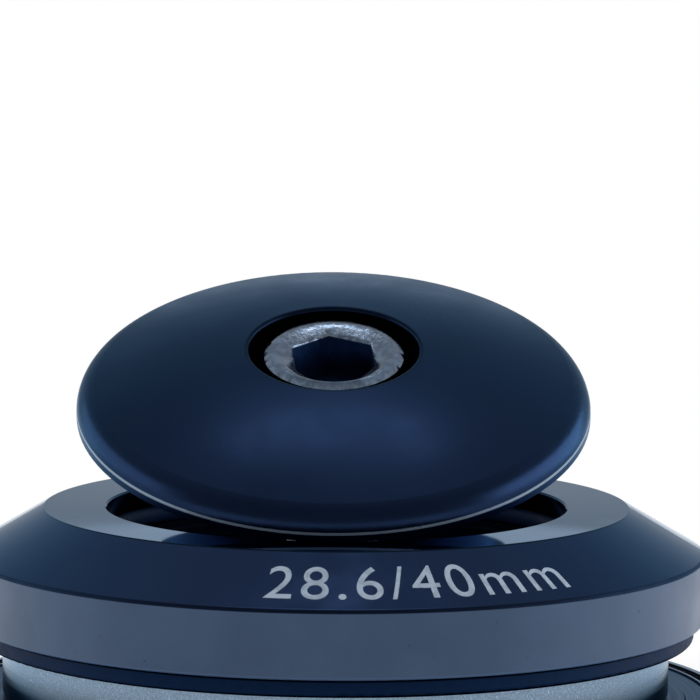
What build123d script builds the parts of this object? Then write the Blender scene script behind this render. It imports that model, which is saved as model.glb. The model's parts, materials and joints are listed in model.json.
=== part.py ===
from build123d import *
import math
import os

# Bicycle headset stacked on a bench. Millimetres, +Z up, the photographer stands at -Y.
# From the bottom: crown race, lower bearing, upper bearing, compression ring, cover, top cap.

# Upper bearing: 41.8 outside and 30.5 inside
upper_od = 41.8
upper_wall = 5.65
upper_h = 8.0
upper_ball_count = 26
upper_seat_chamfer = 1.4
upper_bevel = 1.6

# Lower bearing: 52 outside and 40.2 inside, turned over, so its outer chamfer faces up
nest_step = 0.8
lower_wall = 5.9
lower_h = 7.0
lower_ball_in = 0.45
lower_ball_count = 32
lower_seat_chamfer = 1.2
lower_bevel = 1.6

# Walls and gaps that set the bores: a 28.6 steerer and a 39.7 crown race
ring_wall = 0.95
ring_bore_gap = 0.05
cover_bore_gap = 0.1
crown_gap = 0.25

# Sizes that both bearings share
ball_d = 3.175
groove_gap = 0.06
land_gap = 1.3
seal_ledge = 0.35
seal_depth = 0.7
seal_sink = 0.1
seal_edge = 0.2
lip_gap = 0.08
race_edge = 0.4
cage_gap = 0.3
cage_rim = 0.8
pocket_gap = 0.1

# Crown race and its seal
flange_in = 0.8
flange_h = 2.0
flange_gap = 0.4
crown_cone_h = 1.3
crown_slit = 1.2
wiper_w = 1.4
wiper_air = 0.1
wiper_sink = 0.5

# Compression ring
ring_stand = 2.3
ring_over = 0.2
ring_slit = 1.5

# Cover, its rubber lip and the seal on the steerer
skirt_wall = 1.9
cover_cone_run = 4.78
cover_cone_h = 2.82
cover_wall_h = 4.17
cover_roof = 2.6
skirt_gap = 0.3
skirt_corner = 1.0
bore_chamfer = 0.1
cone_edge = 0.2
flat_edge = 0.12
lip_in = 0.64
lip_h = 1.17
lip_edge = 0.3
lip_tongue_w = 0.7
lip_tongue_h = 0.8
oring_wire_d = 1.2
oring_room = 0.05

# Top cap, in its own frame with the rim's underside at zero
cap_over = 1.68
cap_side_h = 1.56
cap_rim_round = 1.8
dome_r = 39.8
cap_well_d = 10.6
cap_well_edge = 0.2
cap_floor = 0.8
cap_spigot_gap = 3.4
cap_spigot_h = 2.5
cap_spigot_w = 1.3
cap_boss_w = 2.6
cap_shell = 1.8
bolt_hole_d = 6.4
# How the cap leans on the cover
cap_tilt = 21.44
cap_shift_x = -0.21
cap_shift_y = 0.22

# Top cap bolt
bolt_d = 6.0
bolt_len = 20.0
bolt_head_d = 8.72
bolt_head_h = 3.53
bolt_head_edge = 0.35
bolt_tip = 0.7
hex_af = 5.0
hex_depth = 2.6
hex_mouth_d = 7.2
hex_mouth_h = 0.4
hex_turn = 6.5

# How far a cutter reaches past what it cuts
cut_over = 1.0

# Diameters and radii that follow from the bearings
upper_id = upper_od - 2 * upper_wall
upper_pitch_d = upper_od - upper_wall
steerer_d = upper_id - 2 * ring_wall
lower_id = upper_od - 2 * nest_step
lower_od = lower_id + 2 * lower_wall
lower_pitch_d = lower_od - lower_wall - 2 * lower_ball_in
crown_seat_d = lower_id - 2 * crown_gap
flange_d = lower_od - 2 * flange_in
skirt_r = upper_od / 2 + skirt_gap
cover_d = 2 * (skirt_r + skirt_wall)
cover_flat_d = cover_d - 2 * cover_cone_run
lip_d = cover_d - 2 * lip_in
steerer_bore_r = steerer_d / 2 + cover_bore_gap
cap_d = 2 * (steerer_bore_r + cap_over)
cap_spigot_d = 2 * (steerer_bore_r - cap_spigot_gap)

# Levels of the stack
lower_z0 = flange_h + flange_gap
lower_z1 = lower_z0 + lower_h
nest = lower_id / 2 + race_edge - upper_od / 2 + upper_seat_chamfer
upper_z0 = lower_z1 - nest
upper_z1 = upper_z0 + upper_h
ring_z1 = upper_z1 + ring_stand
cover_z1 = ring_z1 + cover_roof
cone_z = cover_z1 - cover_cone_h
wall_z = cone_z - cover_wall_h
lip_z = wall_z - lip_h

# The cap's rim rests on the cover's flat
cap_z = cover_z1 + cap_d / 2 * math.sin(math.radians(cap_tilt))
cap_place = Location((cap_shift_x, cap_shift_y, cap_z), (cap_tilt, 0, 0))
dome_z = cap_side_h - math.sqrt(dome_r**2 - (cap_d / 2) ** 2)


def turned(points):
    """Solid of revolution about Z from a closed outline of (radius, height) points."""
    outline = Polyline([(r, 0, z) for r, z in points], close=True)
    return revolve(make_face(outline), Axis.Z)


def ring_edge(solid, radius, z):
    """The circular edges of a turned solid at one radius and height."""
    found = []
    for edge in solid.edges().filter_by(GeomType.CIRCLE):
        if abs(edge.radius - radius) < 1e-3 and abs(edge.arc_center.Z - z) < 1e-3:
            found.append(edge)
    return found


def slit_box(width, reach, z0, z1):
    """Cutter for a split ring's slit, on the side away from the photographer."""
    depth = reach + cut_over
    return Pos(0, depth / 2, (z0 + z1) / 2) * Box(width, depth, z1 - z0 + 2 * cut_over)


def groove(pitch_d, height):
    """Ring-shaped cutter for a ball groove half-way up a race."""
    return Pos(0, 0, height / 2) * Torus(pitch_d / 2, ball_d / 2 + groove_gap)


def outer_land(pitch_d):
    return pitch_d / 2 + land_gap / 2


def inner_land(pitch_d):
    return pitch_d / 2 - land_gap / 2


def outer_race(od, pitch_d, height, chamfer_w):
    """Outer race with its seat chamfer at the bottom, two seal seats and a ball groove."""
    r = od / 2
    land = outer_land(pitch_d)
    seat = land + seal_ledge
    body = turned([
        (seat, 0),
        (r - chamfer_w, 0),
        (r, chamfer_w),
        (r, height - race_edge),
        (r - race_edge, height),
        (seat, height),
        (seat, height - seal_depth),
        (land, height - seal_depth),
        (land, seal_depth),
        (seat, seal_depth),
    ])
    return body - groove(pitch_d, height)


def inner_race(bore_d, pitch_d, height, bevel_w):
    """Inner race with its taper at the top and a ball groove on the outside."""
    r = bore_d / 2
    land = inner_land(pitch_d)
    body = turned([
        (r + race_edge, 0),
        (land, 0),
        (land, height),
        (r + bevel_w, height),
        (r, height - bevel_w),
        (r, race_edge),
    ])
    return body - groove(pitch_d, height)


def bearing_seal(pitch_d):
    """Rubber seal disc in its seat, with the outer face down and the lip on the inner race."""
    lip_r = inner_land(pitch_d) + lip_gap
    seat = outer_land(pitch_d) + seal_ledge
    return turned([
        (lip_r, seal_sink),
        (seat - seal_edge, seal_sink),
        (seat, seal_sink + seal_edge),
        (seat, seal_depth),
        (lip_r, seal_depth),
    ])


def ball_places(pitch_d, height, count):
    """Ball centres, evenly round the pitch circle, with each place's X pointing outward."""
    return Pos(0, 0, height / 2) * PolarLocations(pitch_d / 2, count, start_angle=180 / count)


def ball_set(pitch_d, height, count):
    """All the balls of one bearing."""
    return Compound(children=[place * Sphere(ball_d / 2) for place in ball_places(pitch_d, height, count)])


def ball_cage(pitch_d, height, count):
    """Cage ring with a drilled pocket for each ball."""
    r0 = inner_land(pitch_d) + cage_gap
    r1 = outer_land(pitch_d) - cage_gap
    z0 = height / 2 - ball_d / 2 - cage_rim
    z1 = height / 2 + ball_d / 2 + cage_rim
    band = turned([(r0, z0), (r1, z0), (r1, z1), (r0, z1)])
    drill = Rot(0, 90, 0) * Cylinder(ball_d / 2 + pocket_gap, 3 * land_gap)
    return band - [place * drill for place in ball_places(pitch_d, height, count)]


def crown_race():
    """Split race for the fork crown: flange, wiper groove and a cone for the lower inner race."""
    r0 = crown_seat_d / 2
    r1 = flange_d / 2
    cone_r = lower_id / 2 + lower_bevel + flange_gap
    top = lower_z0 + crown_cone_h
    top_r = lower_id / 2 + lower_bevel - crown_cone_h
    groove_r1 = r1 - wiper_w / 2
    groove_r0 = groove_r1 - wiper_w
    body = turned([
        (r0, 0),
        (r1 - race_edge, 0),
        (r1, race_edge),
        (r1, flange_h),
        (groove_r1, flange_h),
        (groove_r1, flange_h - wiper_sink),
        (groove_r0, flange_h - wiper_sink),
        (groove_r0, flange_h),
        (cone_r, flange_h),
        (top_r, top),
        (r0, top),
    ])
    return body - slit_box(crown_slit, r1, 0, top)


def crown_wiper():
    """Rubber wiper in the crown race's groove, just clear of the lower bearing."""
    r1 = flange_d / 2 - wiper_w / 2
    r0 = r1 - wiper_w
    top = lower_z0 - wiper_air
    peak = (r0 + r1) / 2
    return turned([
        (r0, flange_h - wiper_sink),
        (r1, flange_h - wiper_sink),
        (r1, flange_h),
        (peak + wiper_w / 4, top),
        (peak - wiper_w / 4, top),
        (r0, flange_h),
    ])


def compression_ring():
    """Split ring that wedges between the steerer and the upper inner race."""
    r0 = steerer_d / 2 + ring_bore_gap
    r_low = upper_id / 2 - ring_over
    r_high = upper_id / 2 + upper_bevel + ring_over
    z_low = upper_z1 - upper_bevel - ring_over
    body = turned([
        (r0, z_low),
        (r_low, z_low),
        (r_high, upper_z1 + ring_over),
        (r_high, ring_z1),
        (r0, ring_z1),
    ])
    return body - slit_box(ring_slit, r_high, z_low, ring_z1)


def oring_major_r():
    return steerer_bore_r + oring_wire_d / 2 - oring_room


def oring_seat_r():
    return oring_major_r() + oring_wire_d / 2 + oring_room


def cover():
    """Dust cover: bore, flat top, cone, wall, and a skirt over the upper bearing."""
    r = cover_d / 2
    seat_z = ring_z1 + oring_wire_d + oring_room
    tongue_r0 = (skirt_r + lip_d / 2) / 2 - lip_tongue_w / 2
    tongue_r1 = tongue_r0 + lip_tongue_w
    body = turned([
        (steerer_bore_r, seat_z),
        (oring_seat_r(), seat_z),
        (oring_seat_r(), ring_z1),
        (skirt_r - skirt_corner, ring_z1),
        (skirt_r, ring_z1 - skirt_corner),
        (skirt_r, wall_z),
        (tongue_r0, wall_z),
        (tongue_r0, wall_z + lip_tongue_h),
        (tongue_r1, wall_z + lip_tongue_h),
        (tongue_r1, wall_z),
        (r, wall_z),
        (r, cone_z),
        (cover_flat_d / 2, cover_z1),
        (steerer_bore_r, cover_z1),
    ])
    body = chamfer(ring_edge(body, steerer_bore_r, cover_z1), bore_chamfer)
    body = fillet(ring_edge(body, r, cone_z) + ring_edge(body, r, wall_z), cone_edge)
    return fillet(ring_edge(body, cover_flat_d / 2, cover_z1), flat_edge)


def cover_lip():
    """Rubber lip under the cover's wall, held by a tongue in the skirt."""
    r = lip_d / 2
    tongue_r0 = (skirt_r + r) / 2 - lip_tongue_w / 2
    tongue_r1 = tongue_r0 + lip_tongue_w
    body = turned([
        (skirt_r, lip_z),
        (r, lip_z),
        (r, wall_z),
        (tongue_r1, wall_z),
        (tongue_r1, wall_z + lip_tongue_h),
        (tongue_r0, wall_z + lip_tongue_h),
        (tongue_r0, wall_z),
        (skirt_r, wall_z),
    ])
    return fillet(ring_edge(body, r, lip_z), lip_edge)


def steerer_oring():
    """O-ring in the cover's underside, round the steerer."""
    return Pos(0, 0, ring_z1 + oring_wire_d / 2) * Torus(oring_major_r(), oring_wire_d / 2)


def dome_height(radius):
    """Height of the cap's dome over the rim's underside."""
    return dome_z + math.sqrt(dome_r**2 - radius**2)


def top_cap():
    """Domed cap with a bolt well on top, and a spigot and a hollow below."""
    r = cap_d / 2
    spigot_r = cap_spigot_d / 2
    boss_r = bolt_hole_d / 2 + cap_boss_w
    hollow_r = spigot_r - cap_spigot_w
    hollow_z = dome_height(hollow_r) - cap_shell
    blank = turned([
        (0, -cap_spigot_h),
        (spigot_r, -cap_spigot_h),
        (spigot_r, 0),
        (r, 0),
        (r, dome_r),
        (0, dome_r),
    ])
    body = blank & (Pos(0, 0, dome_z) * Sphere(dome_r) + Pos(0, 0, -cap_spigot_h) * Cylinder(r, 2 * cap_spigot_h))
    well = Pos(0, 0, cap_floor) * Cylinder(cap_well_d / 2, dome_r, align=(Align.CENTER, Align.CENTER, Align.MIN))
    hollow = turned([
        (boss_r, -cap_spigot_h - cut_over),
        (hollow_r, -cap_spigot_h - cut_over),
        (hollow_r, hollow_z),
        (boss_r, cap_floor - cap_shell),
    ])
    body = body - well - hollow - Cylinder(bolt_hole_d / 2, 4 * dome_r)
    body = fillet(ring_edge(body, r, cap_side_h), cap_rim_round)
    body = fillet(ring_edge(body, cap_well_d / 2, dome_height(cap_well_d / 2)), cap_well_edge)
    return cap_place * body


def top_cap_bolt():
    """Socket-head bolt seated in the cap's well."""
    head_r = bolt_head_d / 2
    top = cap_floor + bolt_head_h
    body = turned([
        (0, cap_floor - bolt_len),
        (bolt_d / 2 - bolt_tip, cap_floor - bolt_len),
        (bolt_d / 2, cap_floor - bolt_len + bolt_tip),
        (bolt_d / 2, cap_floor),
        (head_r, cap_floor),
        (head_r, top - bolt_head_edge),
        (head_r - bolt_head_edge, top),
        (0, top),
    ])
    socket = Pos(0, 0, top - hex_depth) * Rot(0, 0, hex_turn + 30) * extrude(
        RegularPolygon(hex_af / 2, 6, major_radius=False), hex_depth + cut_over)
    mouth = Pos(0, 0, top - hex_mouth_h) * Cone(
        hex_af / 2, hex_mouth_d - hex_af / 2, 2 * hex_mouth_h, align=(Align.CENTER, Align.CENTER, Align.MIN))
    return cap_place * (body - socket - mouth)


upper_place = Pos(0, 0, upper_z0)
upper_top = Pos(0, 0, upper_z1) * Rot(180, 0, 0)
lower_place = Pos(0, 0, lower_z1) * Rot(180, 0, 0)
lower_bottom = Pos(0, 0, lower_z0)

nodes = {
    "crown_race": crown_race(),
    "crown_wiper": crown_wiper(),
    "lower_outer_race": lower_place * outer_race(lower_od, lower_pitch_d, lower_h, lower_seat_chamfer),
    "lower_inner_race": lower_place * inner_race(lower_id, lower_pitch_d, lower_h, lower_bevel),
    "lower_balls": lower_bottom * ball_set(lower_pitch_d, lower_h, lower_ball_count),
    "lower_cage": lower_bottom * ball_cage(lower_pitch_d, lower_h, lower_ball_count),
    "lower_seal_top": lower_place * bearing_seal(lower_pitch_d),
    "lower_seal_bottom": lower_bottom * bearing_seal(lower_pitch_d),
    "upper_outer_race": upper_place * outer_race(upper_od, upper_pitch_d, upper_h, upper_seat_chamfer),
    "upper_inner_race": upper_place * inner_race(upper_id, upper_pitch_d, upper_h, upper_bevel),
    "upper_balls": upper_place * ball_set(upper_pitch_d, upper_h, upper_ball_count),
    "upper_cage": upper_place * ball_cage(upper_pitch_d, upper_h, upper_ball_count),
    "upper_seal_top": upper_top * bearing_seal(upper_pitch_d),
    "upper_seal_bottom": upper_place * bearing_seal(upper_pitch_d),
    "compression_ring": compression_ring(),
    "steerer_oring": steerer_oring(),
    "cover": cover(),
    "cover_lip": cover_lip(),
    "top_cap": top_cap(),
    "top_cap_bolt": top_cap_bolt(),
}

os.makedirs("parts", exist_ok=True)
for name, solid in nodes.items():
    export_step(solid, "parts/" + name + ".step")
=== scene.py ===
"""Finishes, size mark, bolt thread and studio for a stacked bicycle headset.

Laid out as a Blender add-on and run as a script.
"""

import json
import math

import bpy
from bpy.props import FloatProperty, FloatVectorProperty, IntProperty, PointerProperty, StringProperty
from mathutils import Matrix, Vector


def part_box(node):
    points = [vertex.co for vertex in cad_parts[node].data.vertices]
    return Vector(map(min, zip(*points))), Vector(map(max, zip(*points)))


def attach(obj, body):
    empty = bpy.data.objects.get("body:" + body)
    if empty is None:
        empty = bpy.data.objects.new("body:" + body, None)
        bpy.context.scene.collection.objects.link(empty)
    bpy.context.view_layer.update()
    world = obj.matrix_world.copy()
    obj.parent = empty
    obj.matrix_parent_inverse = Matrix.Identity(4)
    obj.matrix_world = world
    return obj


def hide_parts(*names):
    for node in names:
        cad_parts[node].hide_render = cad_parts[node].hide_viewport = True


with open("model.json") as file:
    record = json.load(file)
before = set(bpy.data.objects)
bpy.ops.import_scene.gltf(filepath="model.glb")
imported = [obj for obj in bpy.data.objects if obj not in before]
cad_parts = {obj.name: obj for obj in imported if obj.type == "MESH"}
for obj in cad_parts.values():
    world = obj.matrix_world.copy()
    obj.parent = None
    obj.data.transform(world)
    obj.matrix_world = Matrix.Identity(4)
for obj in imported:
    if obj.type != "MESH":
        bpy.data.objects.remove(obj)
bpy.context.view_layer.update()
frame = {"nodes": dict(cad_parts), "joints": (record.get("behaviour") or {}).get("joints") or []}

bl_info = {
    "name": "Bicycle Headset Finishes",
    "version": (1, 0, 0),
    "blender": (4, 5, 0),
    "location": "View3D > Sidebar > Headset",
    "description": "Dresses a stacked bicycle headset and sets up its studio",
    "category": "Object",
}

MM = 0.001
COVER_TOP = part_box("cover")[1].z
COVER_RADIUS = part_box("cover")[1].x
LOWER_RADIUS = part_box("lower_outer_race")[1].x
BOLT_JOINT = next(joint for joint in frame["joints"] if joint["name"] == "cap_bolt_turn")

# Points nearer than this become one, in cut meshes and in wound or lettered ones
MERGE_CUT = 0.001 * MM
MERGE_DRAWN = 0.002 * MM
SMOOTH_ANGLE = math.radians(30)
MOUTH_FACETS = 72
MARK_CUTS = 3

# Name, place, width and height of the face, and the setting for its brightness
SOFTBOXES = (
    ("right_softbox", (0.75, 0.15, 0.2), (1.0, 0.4), "right_lamp"),
    ("left_softbox", (-0.75, 0.2, 0.2), (1.0, 0.4), "left_lamp"),
    ("back_softbox", (0.0, 1.2, 0.34), (0.4, 0.2), "back_lamp"),
    ("top_softbox", (0.0, 0.19, 0.882), (0.42, 0.12), "top_lamp"),
)


def color_setting(label, hint, value):
    """Colour property with a swatch."""
    return FloatVectorProperty(
        name=label, description=hint, default=value, subtype="COLOR", size=3, min=0, max=1, precision=4)


def share_setting(label, hint, value):
    """Property for a share between 0 and 1."""
    return FloatProperty(name=label, description=hint, default=value, subtype="FACTOR", min=0, max=1)


def number_setting(label, hint, value):
    """Property for a plain number."""
    return FloatProperty(name=label, description=hint, default=value)


def length_setting(label, hint, value):
    """Property for a length in metres."""
    return FloatProperty(name=label, description=hint, default=value, unit="LENGTH", precision=5)


def angle_setting(label, hint, degrees):
    """Property for an angle, given in degrees."""
    return FloatProperty(name=label, description=hint, default=math.radians(degrees), subtype="ANGLE")


class HeadsetFinishes(bpy.types.PropertyGroup):
    """Colours and gloss of the headset's materials"""

    cap_color: color_setting("Cap", "Blue-black of the polished top cap", (0.0112, 0.0235, 0.062))
    cover_color: color_setting("Cover", "Blue-black of the cover's flat", (0.017, 0.031, 0.074))
    # The cone's colour is a lighter, bluer copy of the cover's, a painted sheen for the brighter reflection
    # the cone shows
    lit_cone_color: color_setting("Cone", "Blue-black of the cover's cone", (0.0195, 0.037, 0.096))
    gloss_edge: color_setting(
        "Gloss at the edge", "Reflection of the polished parts seen at a low angle", (0.6, 0.77, 0.97))
    cap_roughness: share_setting("Cap roughness", "Roughness of the top cap", 0.29)
    flat_roughness: share_setting("Flat roughness", "Roughness of the cover's mirror flat", 0.05)
    cone_roughness: share_setting("Cone roughness", "Roughness of the cover's glossy cone", 0.09)
    wall_color: color_setting("Cover wall", "Grey-blue of the satin wall", (0.066, 0.115, 0.215))
    wall_roughness: share_setting("Wall roughness", "Roughness of the satin wall", 0.36)
    # Colour of the painted highlight line round the cap's rim
    rim_highlight_color: color_setting("Bare edge", "Metal showing on the cap's thin rim", (0.3, 0.39, 0.5))
    steel_color: color_setting("Bearing steel", "Ground steel of the races and balls", (0.19, 0.265, 0.355))
    steel_edge: color_setting(
        "Steel at the edge", "Reflection of the races seen at a low angle", (0.75, 0.88, 1.0))
    bolt_color: color_setting("Bolt", "Plated steel of the bolt", (0.157, 0.225, 0.33))
    burr_color: color_setting("Bolt burr", "Bright metal at the socket's mouth", (0.3, 0.375, 0.49))
    # Painted shade for the inside of the bolt's socket
    socket_shade_color: color_setting("Bolt socket", "Dark inside of the bolt's socket", (0.004, 0.014, 0.05))
    rubber_color: color_setting("Rubber", "Seals, lip and wiper", (0.006, 0.022, 0.072))
    rubber_edge: color_setting("Rubber at the edge", "Tint of the rubber's faint gloss", (0.3, 0.65, 1.0))
    rubber_gloss: share_setting("Rubber gloss", "Strength of the rubber's faint gloss", 0.1)
    cage_color: color_setting("Cage", "Moulded ball cages", (0.03, 0.035, 0.045))
    mark_color: color_setting("Size mark", "Pale print on the cone", (0.54, 0.68, 0.87))


class HeadsetSizes(bpy.types.PropertyGroup):
    """Sizes of what is added to the frame"""

    # Heights of the painted highlight line round the cap's rim
    rim_line_foot: length_setting("Rim line foot", "Where the bare line on the cap's rim starts", 0.4 * MM)
    rim_line_head: length_setting("Rim line head", "Where the bare line on the cap's rim ends", 0.64 * MM)
    # Radii of the ring of painted shade on the edge of the bolt's well
    well_inside: length_setting("Well inside", "Inner radius of the dark edge of the bolt's well", 5.24 * MM)
    well_outside: length_setting("Well outside", "Outer radius of that edge", 5.6 * MM)
    wall_top: length_setting("Wall top", "Height where the cover's satin wall ends", COVER_TOP - 3.0 * MM)
    # Top of the painted highlight along the foot of the cover's wall
    wall_highlight_top: length_setting("Wall foot", "Height where the wall's paler foot ends", COVER_TOP - 6.79 * MM)
    lip_head: length_setting("Lip head", "Height of the lip's upper edge", COVER_TOP - 7.06 * MM)
    flat_radius: length_setting("Flat radius", "Radius where the cover's flat ends", COVER_RADIUS - 4.78 * MM)
    flat_fall: length_setting("Flat fall", "How far the flat is polished down to the outside", 0.17 * MM)
    mark_text: StringProperty(name="Size mark", description="Plain numbers on the cone", default="28.6/40mm")
    mark_height: length_setting("Mark height", "Height of the print, measured along the cone", 3.0 * MM)
    mark_width: length_setting("Mark width", "Length of the print along its baseline", 19.6 * MM)
    mark_spacing: number_setting("Mark spacing", "Room between the letters", 1.15)
    mark_radius: length_setting("Mark radius", "Radius of the baseline", COVER_RADIUS - 0.95 * MM)
    mark_turn: angle_setting("Mark turn", "How far the print's middle lies to the right of the front", 14.2)
    cone_slope: angle_setting("Cone slope", "How steeply the cover's cone falls", 30.5)
    mark_thickness: length_setting("Mark thickness", "How far the print stands off the cone", 0.02 * MM)
    # Heights of the painted shade at the foot of the upper race
    race_shade_below: length_setting("Race dark", "Height under which the upper race is dark", COVER_TOP - 11.1 * MM)
    race_unshaded_above: length_setting("Race bright", "Height over which it is bright", COVER_TOP - 8.85 * MM)
    # Radii of the band of painted shade on the lower race
    shade_band_inside: length_setting(
        "Band inside", "Inner radius of the dark band on the lower race", LOWER_RADIUS - 2.25 * MM)
    shade_band_outside: length_setting("Band outside", "Outer radius of that band", LOWER_RADIUS - 1.6 * MM)
    head_height: length_setting("Head height", "Height of the bolt's head", 3.53 * MM)
    burr_radius: length_setting("Burr radius", "How far from the axis the socket's burr reaches", 3.95 * MM)
    worn_radius: length_setting("Worn radius", "Radius where the head's worn edge starts", 4.0 * MM)
    # Where the painted shade inside the bolt's socket lies
    socket_radius: length_setting("Socket radius", "Radius of the socket's dark inside", 3.1 * MM)
    socket_start: length_setting("Socket start", "Depth where the socket's dark inside starts", 0.4 * MM)
    socket_end: length_setting("Socket end", "Depth where the socket's dark inside ends", 3.0 * MM)
    mouth_radius: length_setting("Mouth radius", "Radius of the socket's worn mouth", 3.15 * MM)
    mouth_offset: length_setting("Mouth offset", "How far the worn mouth lies toward the front", 0.8 * MM)
    mouth_slope: angle_setting("Mouth slope", "How steeply the worn mouth falls", 35)
    thread_radius: length_setting("Thread radius", "Outer radius of the thread", 2.94 * MM)
    thread_pitch: length_setting("Thread pitch", "Rise of one turn", 1.0 * MM)
    thread_depth: length_setting("Thread depth", "Depth of the thread's groove", 0.6 * MM)
    thread_plain: length_setting("Plain shank", "Bare shank under the head", 1.2 * MM)
    thread_steps: IntProperty(name="Thread steps", description="Facets in one turn", default=40, min=12)
    thread_lead: length_setting("Thread lead", "How much the tip narrows, at 45 degrees", 0.75 * MM)


class StudioSettings(bpy.types.PropertyGroup):
    """Camera, floor and lamps"""

    lens: number_setting("Lens", "Focal length in millimetres", 300.0)
    sensor: number_setting("Sensor", "Width of the camera's sensor in millimetres", 36.0)
    camera_back: length_setting("Camera back", "Camera's distance in front of the stack's axis", 361.7 * MM)
    camera_height: length_setting("Camera height", "Camera's height over the cover's top", 54.47 * MM)
    camera_pitch: angle_setting("Camera pitch", "How far the camera looks down", 7.036)
    camera_yaw: angle_setting("Camera yaw", "How far the camera looks right", 0.126)
    camera_roll: angle_setting("Camera roll", "How far the camera leans", 0.343)
    floor_size: length_setting("Floor size", "Side of the square floor", 6.0)
    floor_drop: length_setting("Floor drop", "How far the floor lies under the stack", 0.02 * MM)
    shadow_reach: length_setting(
        "Shadow reach", "Radius round the stack where the floor shows its shadow", 75 * MM)
    surround: share_setting("Surround", "Brightness of the plain grey surround", 0.47)
    front_surround: share_setting("Front surround", "Brightness of the surround behind the camera", 0.28)
    right_lamp: number_setting("Right lamp", "Brightness of the right softbox", 2.45)
    left_lamp: number_setting("Left lamp", "Brightness of the left softbox", 1.4)
    back_lamp: number_setting("Back lamp", "Brightness of the back softbox", 0.38)
    top_lamp: number_setting("Top lamp", "Brightness of the top softbox", 3.0)


def finishes():
    """Settings of the materials."""
    return bpy.context.scene.headset_finishes


def sizes():
    """Settings of the sizes."""
    return bpy.context.scene.headset_sizes


def studio():
    """Settings of the studio."""
    return bpy.context.scene.headset_studio


def bolt_place():
    """Matrix from the bolt's own frame, with its axis on Z, to the frame of the whole part."""
    turn = Vector((0, 0, 1)).rotation_difference(Vector(BOLT_JOINT["axis"]))
    return Matrix.Translation(BOLT_JOINT["pos_m"]) @ turn.to_matrix().to_4x4()


# Material helpers

def fresh_material(name):
    """New material, its node tree and its shader."""
    material = bpy.data.materials.new(name)
    material.use_nodes = True
    return material, material.node_tree, material.node_tree.nodes["Principled BSDF"]


def set_inputs(node, values):
    """Writes constants on a node's sockets; colours are given without alpha."""
    for socket, value in values.items():
        is_color = socket.endswith(("Color", "Tint"))
        node.inputs[socket].default_value = (*value, 1.0) if is_color else value


def feed(tree, node, sources):
    """Links sockets to a node's inputs, by name or number."""
    for socket, source in sources.items():
        tree.links.new(source, node.inputs[socket])


def add_node(tree, kind, settings=None, inputs=None):
    """New node with attributes and socket constants set."""
    node = tree.nodes.new(kind)
    for key, value in (settings or {}).items():
        setattr(node, key, value)
    set_inputs(node, inputs or {})
    return node


def object_coords(tree):
    """Coordinates of the whole part's frame."""
    return tree.nodes.new("ShaderNodeTexCoord").outputs["Object"]


def bolt_coords(tree):
    """Coordinates in the frame of the cap and its bolt, whose axis is Z."""
    place = bolt_place()
    mapping = add_node(tree, "ShaderNodeMapping", {"vector_type": "TEXTURE"}, {
        "Location": place.to_translation(), "Rotation": place.to_euler()})
    feed(tree, mapping, {"Vector": object_coords(tree)})
    return mapping.outputs["Vector"]


def along_axes(tree, coords):
    """Sockets with the parts of a coordinate along X, Y and Z."""
    split = tree.nodes.new("ShaderNodeSeparateXYZ")
    feed(tree, split, {0: coords})
    return split.outputs


def height_on_axis(tree, coords):
    """Height along the Z axis."""
    return along_axes(tree, coords)["Z"]


def radius_from_axis(tree, coords):
    """Distance from the Z axis."""
    flat = add_node(tree, "ShaderNodeVectorMath", {"operation": "MULTIPLY"})
    flat.inputs[1].default_value = (1, 1, 0)
    feed(tree, flat, {0: coords})
    length = add_node(tree, "ShaderNodeVectorMath", {"operation": "LENGTH"})
    feed(tree, length, {0: flat.outputs["Vector"]})
    return length.outputs["Value"]


def turned_coords(tree, coords):
    """Coordinates that only change along and away from the axis, for marks that run round."""
    joined = tree.nodes.new("ShaderNodeCombineXYZ")
    feed(tree, joined, {"X": radius_from_axis(tree, coords), "Z": height_on_axis(tree, coords)})
    return joined.outputs["Vector"]


def noise(tree, coords, scale, detail=2.0):
    """Noise with so many waves in a metre."""
    node = add_node(tree, "ShaderNodeTexNoise", None, {"Scale": scale, "Detail": detail})
    feed(tree, node, {"Vector": coords})
    return node.outputs["Fac"]


def ramp(tree, value, low, high, to_low=0.0, to_high=1.0):
    """Smooth change from one number to another while a value goes from low to high."""
    node = add_node(tree, "ShaderNodeMapRange", {"interpolation_type": "SMOOTHSTEP"}, {
        "From Min": low, "From Max": high, "To Min": to_low, "To Max": to_high})
    feed(tree, node, {"Value": value})
    return node.outputs["Result"]


def calculated(tree, operation, first, second):
    """Result of an operation on two sockets."""
    node = add_node(tree, "ShaderNodeMath", {"operation": operation})
    feed(tree, node, {0: first, 1: second})
    return node.outputs["Value"]


def times(tree, first, second):
    """Product, for where both hold."""
    return calculated(tree, "MULTIPLY", first, second)


def larger(tree, first, second):
    """Larger of two, for where either holds."""
    return calculated(tree, "MAXIMUM", first, second)


def between(tree, value, low, high, soft):
    """1 from low to high and 0 outside, with soft ends inside that range."""
    return times(tree, ramp(tree, value, low, low + soft), ramp(tree, value, high, high - soft))


def blend_colors(tree, share, first, second):
    """Colour between two, each a constant or a socket."""
    node = add_node(tree, "ShaderNodeMix", {"data_type": "RGBA"})
    feed(tree, node, {"Factor": share})
    for socket, color in ((6, first), (7, second)):
        if isinstance(color, bpy.types.NodeSocket):
            feed(tree, node, {socket: color})
        else:
            node.inputs[socket].default_value = (*color, 1.0)
    return node.outputs[2]


def blend_values(tree, share, first, second):
    """Number between two, each a socket."""
    node = add_node(tree, "ShaderNodeMix", {"data_type": "FLOAT"})
    feed(tree, node, {"Factor": share, 2: first, 3: second})
    return node.outputs[0]


def scaled(color, factor):
    """Darker or lighter shade of a colour."""
    return tuple(channel * factor for channel in color)


def shades(tree, share, color, low, high):
    """Colour between two shades of one colour."""
    return blend_colors(tree, share, scaled(color, low), scaled(color, high))


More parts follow.
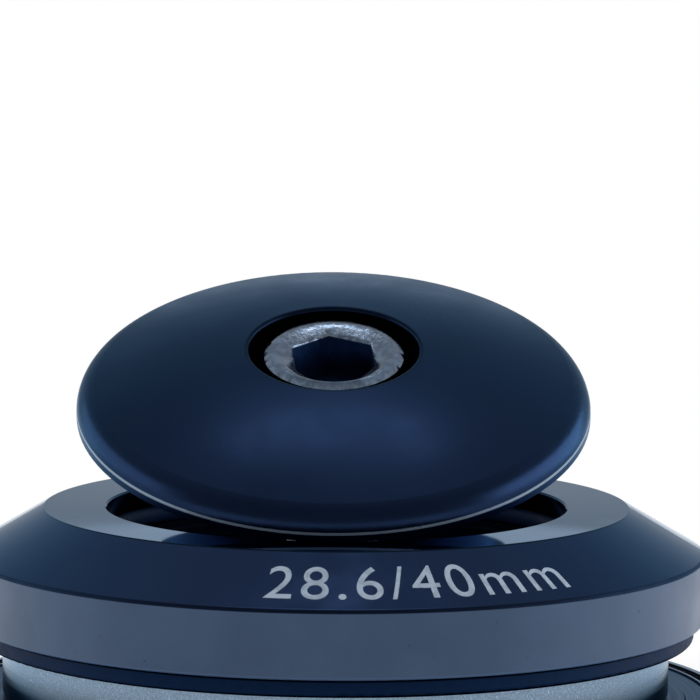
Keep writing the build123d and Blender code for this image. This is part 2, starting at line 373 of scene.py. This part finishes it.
def bump(tree, shader, height, depth, strength=1.0):
    """Fine relief on a shader."""
    node = add_node(tree, "ShaderNodeBump", None, {"Distance": depth, "Strength": strength})
    feed(tree, node, {"Height": height})
    feed(tree, shader, {"Normal": node.outputs["Normal"]})


def paint_nodes(names, material):
    """Gives CAD nodes a material."""
    for name in names:
        for slot in frame["nodes"][name].material_slots:
            slot.material = material


# Materials

def cap_gloss():
    """Polished black anodising with a painted highlight: a pale line round the cap's rim, partly dull so it
    shows bright from every side.
    """
    look, size = finishes(), sizes()
    rim_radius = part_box("top_cap")[1].x - bolt_place().to_translation().x
    material, tree, shader = fresh_material("cap_gloss")
    coords = bolt_coords(tree)
    radius, height = radius_from_axis(tree, coords), height_on_axis(tree, coords)
    body = shades(tree, noise(tree, coords, scale=90.0), look.cap_color, 0.8, 1.2)
    # Painted highlight: a thin pale line round the rim, less metallic than the anodising so it stays bright
    # where the rim mirrors dark things
    on_rim = ramp(tree, radius, rim_radius - 0.1 * MM, rim_radius - 0.06 * MM)
    edge = times(tree, on_rim, between(tree, height, size.rim_line_foot, size.rim_line_head, 0.06 * MM))
    # Painted shade: a darker ring on the edge of the bolt's well, round the head
    well_edge_shade = times(tree, ramp(tree, radius, size.well_outside, size.well_outside - 0.06 * MM),
                      ramp(tree, radius, size.well_inside, size.well_inside + 0.04 * MM))
    body = blend_colors(tree, well_edge_shade, body, scaled(look.cap_color, 0.45))
    smear = noise(tree, coords, scale=260.0, detail=4.0)
    feed(tree, shader, {
        "Base Color": blend_colors(tree, edge, body, look.rim_highlight_color),
        "Metallic": ramp(tree, edge, 0.0, 1.0, 1.0, 0.35),
        "Roughness": ramp(tree, smear, 0.3, 0.7, look.cap_roughness - 0.03, look.cap_roughness + 0.04)})
    lines = noise(tree, turned_coords(tree, coords), scale=9000.0)
    bump(tree, shader, lines, depth=0.001 * MM, strength=0.3)
    set_inputs(shader, {"Specular Tint": look.gloss_edge})
    return material


def dark_gloss(name, low, high):
    """Dark turned metal on the stack's axis, with its roughness between two values."""
    look = finishes()
    material, tree, shader = fresh_material(name)
    coords = object_coords(tree)
    lines = noise(tree, turned_coords(tree, coords), scale=6000.0)
    feed(tree, shader, {
        "Base Color": shades(tree, noise(tree, coords, scale=90.0), look.cover_color, 0.8, 1.2),
        "Roughness": ramp(tree, lines, 0.3, 0.7, low, high)})
    bump(tree, shader, lines, depth=0.002 * MM, strength=0.4)
    set_inputs(shader, {"Metallic": 1.0, "Specular Tint": look.gloss_edge})
    return material


def cover_finish():
    """Cover with a mirror flat, a glossy cone and a satin wall; painted shade darkens its rounded edges, a
    painted highlight lightens the wall's foot, and the cone has a lighter copy of the anodising as painted
    sheen.
    """
    look, size = finishes(), sizes()
    material, tree, shader = fresh_material("cover_finish")
    coords = object_coords(tree)
    height = height_on_axis(tree, coords)
    above_wall = ramp(tree, height, size.wall_top - 0.03 * MM, size.wall_top + 0.03 * MM)
    under_cone = ramp(tree, height, size.wall_top + 0.3 * MM, size.wall_top + 0.2 * MM)
    cone_edge_shade = times(tree, above_wall, under_cone)
    on_flat = ramp(tree, height, COVER_TOP - 0.08 * MM, COVER_TOP - 0.04 * MM)
    flat_edge_shade = ramp(tree, height, COVER_TOP - 0.001 * MM, COVER_TOP - 0.003 * MM)

    cloud = ramp(tree, noise(tree, coords, scale=260.0, detail=5.0), 0.25, 0.75)
    satin = shades(tree, cloud, look.wall_color, 0.92, 1.08)
    pits = ramp(tree, noise(tree, coords, scale=3200.0, detail=1.0), 0.76, 0.8)
    satin = blend_colors(tree, pits, satin, scaled(look.wall_color, 0.6))
    # Painted highlight: the wall's foot is lighter, for the light it catches from the floor
    foot = ramp(tree, height, size.wall_highlight_top, size.wall_highlight_top - 0.06 * MM)
    satin = blend_colors(tree, foot, satin, scaled(look.wall_color, 1.6))

    shade = noise(tree, coords, scale=90.0)
    # Painted sheen: the cone takes a lighter copy of the cover's anodising
    cone = shades(tree, shade, look.lit_cone_color, 0.85, 1.15)
    flat = shades(tree, shade, look.cover_color, 0.85, 1.15)
    gloss = blend_colors(tree, on_flat, cone, flat)
    # Painted shade: the thin rounded band just under the flat's top is darkened, so its edges show no bright
    # reflection
    gloss = blend_colors(tree, times(tree, on_flat, flat_edge_shade), gloss, scaled(look.cover_color, 0.2))
    # Painted shade: a dark line along the cone's lower rounded edge, which is also rougher
    gloss = blend_colors(tree, cone_edge_shade, gloss, scaled(look.cover_color, 0.5))

    smear = noise(tree, coords, scale=300.0, detail=4.0)
    rough_wall = ramp(tree, cloud, 0.0, 1.0, look.wall_roughness + 0.04, look.wall_roughness - 0.04)
    rough_cone = ramp(tree, smear, 0.3, 0.7, look.cone_roughness - 0.03, look.cone_roughness + 0.03)
    rough_edge = ramp(tree, smear, 0.3, 0.7, 0.5, 0.6)
    rough_flat = ramp(tree, smear, 0.3, 0.7, look.flat_roughness - 0.01, look.flat_roughness + 0.02)
    rough_gloss = blend_values(tree, on_flat, rough_cone, rough_flat)
    rough_gloss = blend_values(tree, cone_edge_shade, rough_gloss, rough_edge)

    feed(tree, shader, {
        "Base Color": blend_colors(tree, above_wall, satin, gloss),
        "Roughness": blend_values(tree, above_wall, rough_wall, rough_gloss),
        "Metallic": above_wall})
    fall = add_node(tree, "ShaderNodeMapRange", None, {
        "From Min": 0.5 * COVER_RADIUS, "From Max": size.flat_radius, "To Min": 1.0, "To Max": 0.0})
    feed(tree, fall, {"Value": radius_from_axis(tree, coords)})
    bump(tree, shader, fall.outputs["Result"], depth=size.flat_fall)
    set_inputs(shader, {"Specular Tint": look.gloss_edge})
    return material


def ground_steel(name, dark, bright):
    """Bearing steel with grinding marks and a fine mottle, and painted shade that darkens it toward its foot
    between two heights.
    """
    look = finishes()
    material, tree, shader = fresh_material(name)
    coords = object_coords(tree)
    lines = noise(tree, turned_coords(tree, coords), scale=5000.0, detail=3.0)
    grain = ramp(tree, noise(tree, coords, scale=9000.0), 0.35, 0.65)
    body = shades(tree, grain, look.steel_color, 0.85, 1.15)
    sparkle = ramp(tree, noise(tree, coords, scale=7000.0, detail=3.0), 0.6, 0.7)
    body = blend_colors(tree, sparkle, body, scaled(look.steel_color, 1.6))
    # Painted shade: toward its foot the steel and its gloss turn dark
    upper = ramp(tree, height_on_axis(tree, coords), dark, bright)
    feed(tree, shader, {
        "Base Color": blend_colors(tree, upper, scaled(look.steel_color, 0.22), body),
        "Specular Tint": blend_colors(tree, upper, scaled(look.steel_edge, 0.4), look.steel_edge),
        "Roughness": ramp(tree, lines, 0.25, 0.75, 0.17, 0.29)})
    bump(tree, shader, lines, depth=0.004 * MM, strength=0.5)
    set_inputs(shader, {"Metallic": 1.0})
    return material


def shaded_band_race():
    """Steel of the lower outer race, with a dark band of painted shade round the seal."""
    look, size = finishes(), sizes()
    material, tree, shader = fresh_material("shaded_band_race")
    coords = object_coords(tree)
    lines = noise(tree, turned_coords(tree, coords), scale=5000.0, detail=3.0)
    steel = shades(tree, lines, look.steel_color, 0.85, 1.15)
    radius, soft = radius_from_axis(tree, coords), 0.05 * MM
    # Painted shade: a dark band with dim gloss round the seal
    band = between(tree, radius, size.shade_band_inside - soft, size.shade_band_outside + soft, soft)
    feed(tree, shader, {
        "Base Color": blend_colors(tree, band, steel, scaled(look.cover_color, 0.3)),
        "Specular Tint": blend_colors(tree, band, look.steel_edge, scaled(look.gloss_edge, 0.15)),
        "Roughness": ramp(tree, lines, 0.25, 0.75, 0.28, 0.4)})
    bump(tree, shader, lines, depth=0.004 * MM, strength=0.5)
    set_inputs(shader, {"Metallic": 1.0})
    return material


def bolt_plating(top):
    """Plated bolt with painted shade inside its socket, a worn edge and a bright burr at the back of the
    socket's mouth.
    """
    look, size = finishes(), sizes()
    material, tree, shader = fresh_material("bolt_plating")
    coords = bolt_coords(tree)
    radius, height = radius_from_axis(tree, coords), height_on_axis(tree, coords)
    grain = ramp(tree, noise(tree, coords, scale=1500.0, detail=5.0), 0.35, 0.7)
    plate = shades(tree, grain, look.bolt_color, 0.8, 1.3)
    speckle = ramp(tree, noise(tree, coords, scale=4200.0, detail=6.0), 0.42, 0.62)
    near_socket = ramp(tree, radius, size.burr_radius, size.burr_radius - 0.45 * MM)
    at_back = ramp(tree, along_axes(tree, coords)["Y"], 0.4 * MM, 2.2 * MM)
    worn_edge = ramp(tree, radius, size.worn_radius, size.worn_radius + 0.25 * MM, 0.0, 0.6)
    burr = times(tree, larger(tree, times(tree, near_socket, at_back), worn_edge), speckle)
    face = blend_colors(tree, burr, plate, look.burr_color)
    # Painted shade: the socket's inside below its mouth is dark and dull
    inside = ramp(tree, radius, size.socket_radius, size.socket_radius - 0.1 * MM)
    under_top = between(tree, height, top - size.socket_end, top - size.socket_start, 0.1 * MM)
    dark = times(tree, inside, under_top)
    smooth = ramp(tree, grain, 0.0, 1.0, 0.24, 0.16)
    dull = ramp(tree, grain, 0.0, 1.0, 0.6, 0.5)
    feed(tree, shader, {
        "Base Color": blend_colors(tree, dark, face, look.socket_shade_color),
        "Roughness": blend_values(tree, dark, smooth, dull)})
    bump(tree, shader, speckle, depth=0.012 * MM, strength=0.25)
    set_inputs(shader, {"Metallic": 1.0})
    return material


def plain_rubber(name, low, high):
    """Moulded rubber with a faint grain, and the tree, shader and body colour to go on with."""
    look = finishes()
    material, tree, shader = fresh_material(name)
    grain = noise(tree, object_coords(tree), scale=1800.0, detail=3.0)
    body = shades(tree, grain, look.rubber_color, 0.7, 1.3)
    feed(tree, shader, {"Base Color": body, "Roughness": ramp(tree, grain, 0.3, 0.7, low, high)})
    bump(tree, shader, grain, depth=0.01 * MM, strength=0.3)
    set_inputs(shader, {"Specular IOR Level": look.rubber_gloss, "Specular Tint": look.rubber_edge})
    return material, tree, shader, body


def seal_rubber():
    """Rubber of the seals, the wiper and the O-ring."""
    return plain_rubber("seal_rubber", 0.6, 0.72)[0]


def lip_rubber():
    """Rubber of the cover's lip, with painted shade darkening both edges and taking their gloss away."""
    look, head = finishes(), sizes().lip_head
    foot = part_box("cover_lip")[0].z
    material, tree, shader, body = plain_rubber("lip_rubber", 0.5, 0.62)
    height = height_on_axis(tree, object_coords(tree))
    # Painted shade: dark lines along the lip's top and bottom edges
    edges = larger(tree, ramp(tree, height, foot + 0.2 * MM, foot + 0.12 * MM),
                   ramp(tree, height, head - 0.18 * MM, head - 0.1 * MM))
    feed(tree, shader, {
        "Base Color": blend_colors(tree, edges, body, scaled(look.rubber_color, 0.15)),
        "Specular IOR Level": ramp(tree, edges, 0.0, 1.0, look.rubber_gloss, 0.0)})
    return material


def cage_plastic():
    """Moulded cage with flow marks."""
    material, tree, shader = fresh_material("cage_plastic")
    flow = noise(tree, object_coords(tree), scale=500.0, detail=3.0)
    feed(tree, shader, {
        "Base Color": shades(tree, flow, finishes().cage_color, 0.8, 1.2),
        "Roughness": ramp(tree, flow, 0.3, 0.7, 0.45, 0.6)})
    bump(tree, shader, flow, depth=0.01 * MM, strength=0.3)
    return material


def mark_print():
    """Pale print, a little worn."""
    material, tree, shader = fresh_material("mark_print")
    wear = ramp(tree, noise(tree, object_coords(tree), scale=1600.0, detail=4.0), 0.35, 0.6)
    feed(tree, shader, {
        "Base Color": shades(tree, wear, finishes().mark_color, 0.8, 1.0),
        "Roughness": ramp(tree, wear, 0.0, 1.0, 0.6, 0.45)})
    return material


def white_floor():
    """Floor that is white to camera, reflections and glass, and keeps a shadow near the stack."""
    material, tree, shader = fresh_material("white_floor")
    reach = studio().shadow_reach
    away = ramp(tree, radius_from_axis(tree, object_coords(tree)), 0.5 * reach, reach)
    ray = tree.nodes.new("ShaderNodeLightPath").outputs
    seen = larger(tree, larger(tree, ray["Is Camera Ray"], ray["Is Glossy Ray"]), ray["Is Transmission Ray"])
    white = add_node(tree, "ShaderNodeEmission", None, {"Color": (1, 1, 1), "Strength": 1.0})
    mix = tree.nodes.new("ShaderNodeMixShader")
    feed(tree, mix, {
        "Fac": times(tree, away, seen), 1: shader.outputs["BSDF"], 2: white.outputs["Emission"]})
    feed(tree, tree.nodes["Material Output"], {"Surface": mix.outputs["Shader"]})
    set_inputs(shader, {"Base Color": (0.9, 0.9, 0.9), "Roughness": 0.9})
    return material


# Modelling helpers

def select_only(piece):
    """Makes a piece the only one selected, and the active one."""
    bpy.ops.object.select_all(action="DESELECT")
    piece.select_set(True)
    bpy.context.view_layer.objects.active = piece


def apply_modifier(piece, kind, settings):
    """Adds a modifier to a piece and applies it."""
    select_only(piece)
    modifier = piece.modifiers.new(kind.title(), kind)
    for key, value in settings.items():
        setattr(modifier, key, value)
    bpy.ops.object.modifier_apply(modifier=modifier.name)


def apply_place(piece):
    """Puts a piece's place into its mesh."""
    select_only(piece)
    bpy.ops.object.transform_apply(location=True, rotation=True, scale=True)


def edit_all(piece):
    """Goes into edit mode with the whole piece selected."""
    select_only(piece)
    bpy.ops.object.mode_set(mode="EDIT")
    bpy.ops.mesh.select_all(action="SELECT")


def leave_edit():
    """Goes back to object mode."""
    bpy.ops.object.mode_set(mode="OBJECT")


def combine(piece, other, operation):
    """Joins a piece with another, cuts it or keeps what both share, and drops the other."""
    apply_modifier(piece, "BOOLEAN", {"operation": operation, "object": other, "solver": "EXACT"})
    bpy.data.objects.remove(other)


def cut_off(piece, point, normal):
    """Cuts a piece at a plane, drops what lies ahead of the normal and closes the cut."""
    edit_all(piece)
    bpy.ops.mesh.bisect(
        plane_co=point, plane_no=normal, use_fill=True, clear_outer=True, threshold=MERGE_CUT)
    leave_edit()


def add_cone(facets, low_radius, high_radius, depth, middle):
    """Closed cone along Z, without its point."""
    bpy.ops.object.select_all(action="DESELECT")
    bpy.ops.mesh.primitive_cone_add(
        vertices=facets, radius1=low_radius, radius2=high_radius, depth=depth, location=middle)
    cone = bpy.context.object
    apply_place(cone)
    return cone


class HEADSET_OT_anodised_parts(bpy.types.Operator):
    """Finish the cap, cover, crown race and compression ring"""

    bl_idname = "headset.anodised_parts"
    bl_label = "Finish anodised parts"

    def execute(self, context):
        paint_nodes(["top_cap"], cap_gloss())
        paint_nodes(["cover"], cover_finish())
        paint_nodes(["crown_race", "compression_ring"], dark_gloss("dark_gloss", 0.2, 0.3))
        return {"FINISHED"}


class HEADSET_OT_bearings(bpy.types.Operator):
    """Finish both bearings, their seals and the other rubber rings"""

    bl_idname = "headset.bearings"
    bl_label = "Finish bearings"

    def execute(self, context):
        size = sizes()
        # Both heights lie under the stack, so this steel has no painted shade at its foot
        steel = ground_steel("ground_steel", -2 * MM, -1 * MM)
        paint_nodes(["upper_inner_race", "upper_balls", "lower_balls"], steel)
        paint_nodes(["upper_outer_race"], ground_steel("race_steel", size.race_shade_below, size.race_unshaded_above))
        paint_nodes(["lower_outer_race"], shaded_band_race())
        # The seal's top takes its own dark gloss; on the lower inner race the same dark gloss is painted
        # shade in place of its steel
        paint_nodes(["lower_seal_top", "lower_inner_race"], dark_gloss("shield_and_shaded_race", 0.34, 0.42))
        paint_nodes(["upper_seal_top", "upper_seal_bottom", "lower_seal_bottom", "crown_wiper",
                     "steerer_oring"], seal_rubber())
        paint_nodes(["cover_lip"], lip_rubber())
        paint_nodes(["upper_cage", "lower_cage"], cage_plastic())
        return {"FINISHED"}


class HEADSET_OT_cap_bolt(bpy.types.Operator):
    """Model the top cap's bolt with its thread"""

    bl_idname = "headset.cap_bolt"
    bl_label = "Model cap bolt"

    def execute(self, context):
        size = sizes()
        node = frame["nodes"]["top_cap_bolt"]
        place = bolt_place()
        along = [(place.inverted() @ vertex.co).z for vertex in node.data.vertices]
        tip, top = min(along), max(along)
        thread_end = top - size.head_height - size.thread_plain

        bolt = bpy.data.objects.new("cap_bolt_threaded", node.data.copy())
        context.collection.objects.link(bolt)
        edit_all(bolt)
        bpy.ops.mesh.remove_doubles(threshold=MERGE_CUT)
        leave_edit()
        cut_off(bolt, place @ Vector((0, 0, thread_end)), -Vector(BOLT_JOINT["axis"]))

        mouth = self.mouth_cutter(top)
        shank = self.threaded_shank(tip, thread_end + 0.5 * size.thread_plain)
        for other, operation in ((mouth, "DIFFERENCE"), (shank, "UNION")):
            other.matrix_world = place
            apply_place(other)
            combine(bolt, other, operation)
        edit_all(bolt)
        bpy.ops.mesh.remove_doubles(threshold=MERGE_CUT)
        bpy.ops.mesh.dissolve_degenerate(threshold=MERGE_CUT)
        leave_edit()
        bpy.ops.object.shade_smooth_by_angle(angle=SMOOTH_ANGLE)
        bolt.data.materials.clear()
        bolt.data.materials.append(bolt_plating(top))
        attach(bolt, BOLT_JOINT["child"])
        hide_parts("top_cap_bolt")
        return {"FINISHED"}

    def mouth_cutter(self, top):
        """Cone along Z that opens the socket's mouth toward the front."""
        size = sizes()
        below, above = 0.9 * MM, 0.3 * MM
        spread = 1 / math.tan(size.mouth_slope)
        return add_cone(
            MOUTH_FACETS, size.mouth_radius - below * spread, size.mouth_radius + above * spread,
            below + above, (0, -size.mouth_offset, top + (above - below) / 2))

    def threaded_shank(self, tip, end):
        """Closed shank on the Z axis with one thread wound round it and a narrowed tip."""
        size = sizes()
        pitch, depth = size.thread_pitch, size.thread_depth
        spare_turns = 2
        shank = self.tooth(size.thread_radius - depth, tip - spare_turns * pitch, pitch, depth)
        apply_modifier(shank, "SCREW", {
            "axis": "Z", "angle": math.tau, "screw_offset": pitch, "steps": size.thread_steps,
            "render_steps": size.thread_steps,
            "iterations": math.ceil((end - tip) / pitch) + 2 * spare_turns})
        edit_all(shank)
        bpy.ops.mesh.remove_doubles(threshold=MERGE_DRAWN)
        bpy.ops.mesh.normals_make_consistent(inside=False)
        leave_edit()
        cut_off(shank, (0, 0, tip), (0, 0, -1))
        cut_off(shank, (0, 0, end), (0, 0, 1))
        reach = end - tip + pitch
        tip_radius = size.thread_radius - size.thread_lead
        lead = add_cone(size.thread_steps, tip_radius, tip_radius + reach, reach, (0, 0, tip + reach / 2))
        combine(shank, lead, "INTERSECT")
        return shank

    def tooth(self, root, low, pitch, depth):
        """Outline of one thread tooth, drawn from a single point by extruding it."""
        bpy.ops.object.select_all(action="DESELECT")
        bpy.ops.mesh.primitive_plane_add(size=pitch)
        outline = bpy.context.object
        edit_all(outline)
        bpy.ops.mesh.merge(type="CENTER")
        bpy.ops.transform.translate(value=(root, 0, low))
        flank, crest, gap = 5 / 16 * pitch, 2 / 16 * pitch, 4 / 16 * pitch
        for step in ((depth, 0, flank), (0, 0, crest), (-depth, 0, flank), (0, 0, gap)):
            bpy.ops.mesh.extrude_vertices_move(TRANSFORM_OT_translate={"value": step})
        leave_edit()
        return outline


class HEADSET_OT_size_mark(bpy.types.Operator):
    """Print plain numbers on the cover's cone"""

    bl_idname = "headset.size_mark"
    bl_label = "Print size mark"

    def execute(self, context):
        size = sizes()
        bpy.ops.object.select_all(action="DESELECT")
        bpy.ops.object.text_add()
        mark = context.object
        mark.name = "size_mark"
        mark.data.body = size.mark_text
        mark.data.align_x = "CENTER"
        mark.data.space_character = size.mark_spacing
        bpy.ops.object.convert(target="MESH")
        mark.dimensions = (size.mark_width, size.mark_height * math.cos(size.cone_slope), 0)
        apply_place(mark)
        edit_all(mark)
        bpy.ops.mesh.remove_doubles(threshold=MERGE_DRAWN)
        bpy.ops.mesh.quads_convert_to_tris()
        bpy.ops.mesh.subdivide(number_cuts=MARK_CUTS)
        leave_edit()
        apply_modifier(mark, "SIMPLE_DEFORM", {
            "deform_method": "BEND", "deform_axis": "Z", "angle": size.mark_width / size.mark_radius})
        mark.matrix_world = (Matrix.Translation((0, 0, COVER_TOP + size.mark_height))
                             @ Matrix.Rotation(size.mark_turn, 4, "Z")
                             @ Matrix.Translation((0, -size.mark_radius, 0)))
        apply_place(mark)
        apply_modifier(mark, "SHRINKWRAP", {
            "target": frame["nodes"]["cover"], "wrap_method": "PROJECT", "use_project_z": True,
            "use_negative_direction": True, "use_positive_direction": False})
        apply_modifier(mark, "SOLIDIFY", {"thickness": size.mark_thickness, "offset": 1.0})
        mark.data.materials.clear()
        mark.data.materials.append(mark_print())
        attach(mark, "upper_ring")
        return {"FINISHED"}


class HEADSET_OT_studio(bpy.types.Operator):
    """Set up the floor, soft lamps, plain surround and camera"""

    bl_idname = "headset.studio"
    bl_label = "Set up studio"

    def execute(self, context):
        self.floor(context)
        for name, place, face, lamp in SOFTBOXES:
            self.softbox(context, name, place, face, getattr(studio(), lamp))
        self.surround(context)
        self.camera(context)
        context.scene.view_settings.view_transform = "Standard"
        return {"FINISHED"}

    def floor(self, context):
        """Large white floor under the stack."""
        view = studio()
        bpy.ops.object.select_all(action="DESELECT")
        bpy.ops.mesh.primitive_plane_add(size=view.floor_size, location=(0, 0, -view.floor_drop))
        floor = context.object
        floor.name = "floor"
        apply_place(floor)
        floor.data.materials.append(white_floor())

    def softbox(self, context, name, place, face, brightness):
        """Lamp that faces the stack; brightness is what its face would show."""
        target = Vector((0, 0, 0.6 * COVER_TOP))
        bpy.ops.object.light_add(type="AREA", location=place)
        lamp = context.object
        lamp.name = name
        lamp.rotation_euler = (target - Vector(place)).to_track_quat("-Z", "Y").to_euler()
        lamp.data.shape = "RECTANGLE"
        lamp.data.size, lamp.data.size_y = face
        lamp.data.energy = brightness * math.pi * face[0] * face[1]

    def surround(self, context):
        """Plain grey world, darker behind the camera."""
        world = bpy.data.worlds.new("plain_surround")
        world.use_nodes = True
        tree = world.node_tree
        background = tree.nodes["Background"]
        set_inputs(background, {"Color": (1, 1, 1)})
        direction = tree.nodes.new("ShaderNodeTexCoord").outputs["Generated"]
        front, middle = -0.7, 0.2
        level = ramp(tree, along_axes(tree, direction)["Y"], front, middle,
                     studio().front_surround, studio().surround)
        feed(tree, background, {"Strength": level})
        context.scene.world = world

    def camera(self, context):
        """Camera in front of the stack, looking a little down on it."""
        view = studio()
        bpy.ops.object.camera_add()
        camera = context.object
        camera.name = "photo_camera"
        camera.data.lens = view.lens
        camera.data.sensor_width = view.sensor
        camera.matrix_world = (Matrix.Translation((0, -view.camera_back, COVER_TOP + view.camera_height))
                               @ Matrix.Rotation(-view.camera_yaw, 4, "Z")
                               @ Matrix.Rotation(math.pi / 2 - view.camera_pitch, 4, "X")
                               @ Matrix.Rotation(view.camera_roll, 4, "Z"))
        context.scene.camera = camera


class HEADSET_PT_sidebar(bpy.types.Panel):
    """Headset's settings and steps"""

    bl_idname = "HEADSET_PT_sidebar"
    bl_label = "Bicycle Headset"
    bl_space_type = "VIEW_3D"
    bl_region_type = "UI"
    bl_category = "Headset"

    def draw(self, context):
        layout = self.layout
        for label, group in (("Finishes", finishes()), ("Sizes", sizes()), ("Studio", studio())):
            box = layout.box()
            box.label(text=label)
            for name in group.__annotations__:
                box.prop(group, name)
        for step in STEPS:
            layout.operator(step.bl_idname)


GROUPS = (HeadsetFinishes, HeadsetSizes, StudioSettings)
STEPS = (HEADSET_OT_anodised_parts, HEADSET_OT_bearings, HEADSET_OT_cap_bolt, HEADSET_OT_size_mark,
         HEADSET_OT_studio)


def register():
    for cls in GROUPS + STEPS + (HEADSET_PT_sidebar,):
        bpy.utils.register_class(cls)
    bpy.types.Scene.headset_finishes = PointerProperty(type=HeadsetFinishes)
    bpy.types.Scene.headset_sizes = PointerProperty(type=HeadsetSizes)
    bpy.types.Scene.headset_studio = PointerProperty(type=StudioSettings)


def unregister():
    del bpy.types.Scene.headset_studio
    del bpy.types.Scene.headset_sizes
    del bpy.types.Scene.headset_finishes
    for cls in reversed(GROUPS + STEPS + (HEADSET_PT_sidebar,)):
        bpy.utils.unregister_class(cls)


def main():
    register()
    bpy.ops.headset.anodised_parts()
    bpy.ops.headset.bearings()
    bpy.ops.headset.cap_bolt()
    bpy.ops.headset.size_mark()
    bpy.ops.headset.studio()


if __name__ == "__main__":
    main()
